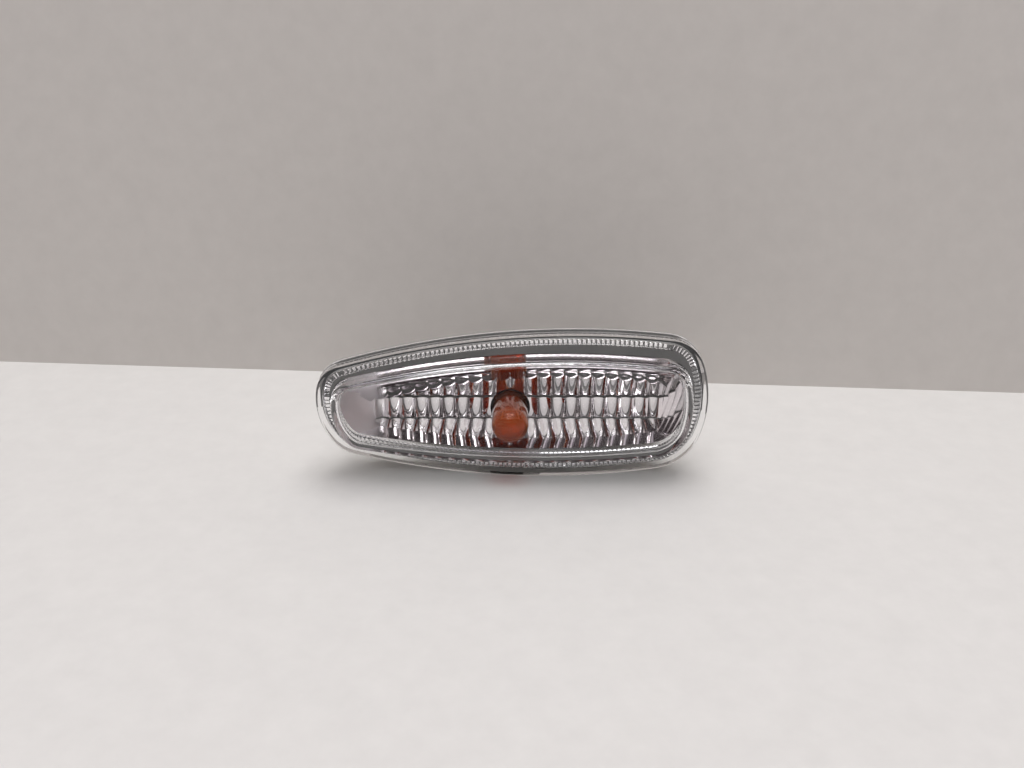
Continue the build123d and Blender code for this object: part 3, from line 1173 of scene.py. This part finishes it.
@dataclass(frozen=True)
class SoftLamp:
    """Square soft light that looks at the lamp being shown.

    Attributes:
        name: Name of the light.
        place: Where it hangs, in metres.
        size: Length of its side in metres.
        power: Power in watts.
        mirrored: Whether polished surfaces show it.
    """

    name: str
    place: tuple[float, float, float]
    size: float
    power: float
    mirrored: bool

    def hang(self) -> None:
        """Adds the light to the scene."""
        data = bpy.data.lights.new(self.name, "AREA")
        data.size = self.size
        data.energy = self.power
        light = bpy.data.objects.new(self.name, data)
        light.location = self.place
        light.visible_glossy = self.mirrored
        light.visible_transmission = self.mirrored
        light.rotation_euler = (-Vector(self.place)).to_track_quat("-Z", "Y").to_euler()
        bpy.context.scene.collection.objects.link(light)


LAMPS = (
    SoftLamp("back", (0.1, 0.26, 1.15), size=0.7, power=8.3, mirrored=True),
    SoftLamp("front", (-0.15, -0.45, 1.1), size=0.5, power=2.8, mirrored=True),
    SoftLamp("fill", (0.0, -1.4, 0.6), size=0.8, power=4.5, mirrored=False),
)


@dataclass
class Studio:
    """Pale floor, plain backdrop, soft lamps and the camera.

    Lengths are in metres, angles in degrees.

    Attributes:
        floor_size: Side of the floor and length of the wall.
        floor_gap: Room between the lamp and the floor.
        wall_distance: Distance of the wall behind the lamp's mid line.
        wall_height: Height of the wall.
        wall_turn: Turn of the wall from the lamp's length.
        floor_colour: Colour of the floor, linear.
        wall_colour: Colour of the wall, linear.
        matt: Roughness of both.
        speckle_scale: Speckles in a metre.
        speckle: Share by which speckles are darker or lighter.
        room: Height in the sky and colour there, from low to high.
        distance: Distance of the camera.
        elevation: Angle of the camera above the lamp's level.
        aim: Point that the camera looks at.
        near: Nearest distance that the camera sees.
        lens_width: Width of the camera's sensor in millimetres.
        focal: Focal length of the camera in millimetres.
        bounces: Bounces of the light in all, through glass, off polish and through clear shadow.
    """

    floor_size: float = 6.0
    floor_gap: float = 0.0002
    wall_distance: float = 0.0635
    wall_height: float = 0.5
    wall_turn: float = 4.4
    floor_colour: tuple[float, float, float] = (0.66, 0.645, 0.625)
    wall_colour: tuple[float, float, float] = (0.62, 0.59, 0.565)
    matt: float = 0.9
    speckle_scale: float = 160.0
    speckle: float = 0.06
    room: tuple[tuple[float, tuple[float, float, float]], ...] = (
        (0.1, (0.62, 0.58, 0.57)),
        (0.22, (0.03, 0.023, 0.025)),
        (0.76, (0.03, 0.023, 0.025)),
        (0.95, (1.05, 0.99, 1.06)),
    )
    distance: float = 0.3
    elevation: float = 24.0
    aim: tuple[float, float, float] = (0.0005, 0.0, 0.0045)
    near: float = 0.01
    lens_width: float = 36.0
    focal: float = 39.0
    bounces: tuple[int, int, int, int] = (24, 16, 12, 16)

    def plain(self, name: str, colour: tuple[float, float, float], one_sided: bool) -> bpy.types.Material:
        """Makes a plain matt material for the stage.

        Args:
            name: Name of the material.
            colour: Its colour, linear.
            one_sided: Whether it can be seen through from behind.

        Returns:
            The material.
        """
        material = bpy.data.materials.new(name)
        material.use_nodes = True
        tree = material.node_tree
        shader = tree.nodes["Principled BSDF"]
        shader.inputs["Roughness"].default_value = self.matt
        place = add_node(tree, "ShaderNodeTexCoord").outputs["Object"]
        noise = add_node(
            tree, "ShaderNodeTexNoise", Vector=place, Scale=self.speckle_scale, Detail=6.0, Roughness=0.6,
        )
        blend = add_node(tree, "ShaderNodeMix", data_type="RGBA", Factor=noise.outputs["Fac"])
        for socket, share in ((MIX_A, 1 - self.speckle), (MIX_B, 1 + self.speckle)):
            blend.inputs[socket].default_value = (*(share * part for part in colour), 1.0)
        tree.links.new(blend.outputs[MIX_RESULT], shader.inputs["Base Color"])
        if one_sided:
            clear = tree.nodes.new("ShaderNodeBsdfTransparent")
            side = tree.nodes.new("ShaderNodeNewGeometry")
            mix = tree.nodes.new("ShaderNodeMixShader")
            tree.links.new(side.outputs["Backfacing"], mix.inputs["Fac"])
            tree.links.new(shader.outputs["BSDF"], mix.inputs[1])
            tree.links.new(clear.outputs["BSDF"], mix.inputs[2])
            tree.links.new(mix.outputs["Shader"], tree.nodes["Material Output"].inputs["Surface"])
        return material

    def sheet(self, name: str, corners: list[Vector], material: bpy.types.Material) -> bpy.types.Object:
        """Adds a flat stage sheet through four corners."""
        mesh = bmesh.new()
        mesh.faces.new([mesh.verts.new(corner) for corner in corners])
        data = bpy.data.meshes.new(name)
        mesh.to_mesh(data)
        mesh.free()
        data.materials.append(material)
        piece = bpy.data.objects.new(name, data)
        bpy.context.scene.collection.objects.link(piece)
        return piece

    def surroundings(self) -> None:
        """Lays the floor and stands the wall behind the lamp."""
        low = CAD_BOX[0][2] - self.floor_gap
        half = self.floor_size / 2
        corners = ((-half, -half), (half, -half), (half, half), (-half, half))
        flat = [Vector((x, y, low)) for x, y in corners]
        self.sheet("floor", flat, self.plain("pale_floor", self.floor_colour, False))
        turn = math.tan(math.radians(self.wall_turn))
        left, right = (Vector((x, self.wall_distance - x * turn, low)) for x in (-half, half))
        rise = self.wall_height * UP
        upright = [left, right, right + rise, left + rise]
        wall = self.sheet("wall", upright, self.plain("pale_wall", self.wall_colour, True))
        wall.visible_shadow = False

    def light(self) -> None:
        """Lights the lamp softly from above and gives the room its level."""
        for lamp in LAMPS:
            lamp.hang()
        world = bpy.data.worlds.new("room")
        world.use_nodes = True
        tree = world.node_tree
        direction = add_node(tree, "ShaderNodeTexCoord").outputs["Generated"]
        height = add_node(tree, "ShaderNodeSeparateXYZ", Vector=direction).outputs["Z"]
        shades = add_node(tree, "ShaderNodeValToRGB", Fac=height)
        shades.color_ramp.interpolation = "EASE"
        first, last = shades.color_ramp.elements
        first.position, last.position = self.room[0][0], self.room[-1][0]
        for level, _ in self.room[1:-1]:
            shades.color_ramp.elements.new(level)
        for stop, (_, colour) in zip(shades.color_ramp.elements, self.room):
            stop.color = (*colour, 1.0)
        tree.links.new(shades.outputs["Color"], tree.nodes["Background"].inputs["Color"])
        bpy.context.scene.world = world

    def camera(self) -> None:
        """Places the camera at the viewing angle of the lamp's front."""
        data = bpy.data.cameras.new("camera")
        data.lens = self.focal
        data.sensor_width = self.lens_width
        data.clip_start = self.near
        eye = bpy.data.objects.new("camera", data)
        pitch = math.radians(self.elevation)
        aim = Vector(self.aim)
        eye.location = aim + self.distance * Vector((0, -math.cos(pitch), math.sin(pitch)))
        eye.rotation_euler = (math.radians(90 - self.elevation), 0, 0)
        bpy.context.scene.collection.objects.link(eye)
        bpy.context.scene.camera = eye

    def build(self) -> None:
        """Sets up the stage, the lamps, the camera and the light's bounces."""
        self.surroundings()
        self.light()
        self.camera()
        scene = bpy.context.scene
        scene.view_settings.view_transform = "Standard"
        everything, glass, polish, clear = self.bounces
        scene.cycles.max_bounces = everything
        scene.cycles.transmission_bounces = glass
        scene.cycles.glossy_bounces = polish
        scene.cycles.transparent_max_bounces = clear
        scene.cycles.caustics_reflective = False
        scene.cycles.caustics_refractive = False


def main() -> None:
    """Builds the lamp's pieces in order, then the studio around them."""
    Lens().build()
    BrightBowl().build()
    Bulb().build()
    Moulded().dress()
    Studio().build()


if __name__ == "__main__":
    logging.basicConfig(level=logging.INFO)
    main()
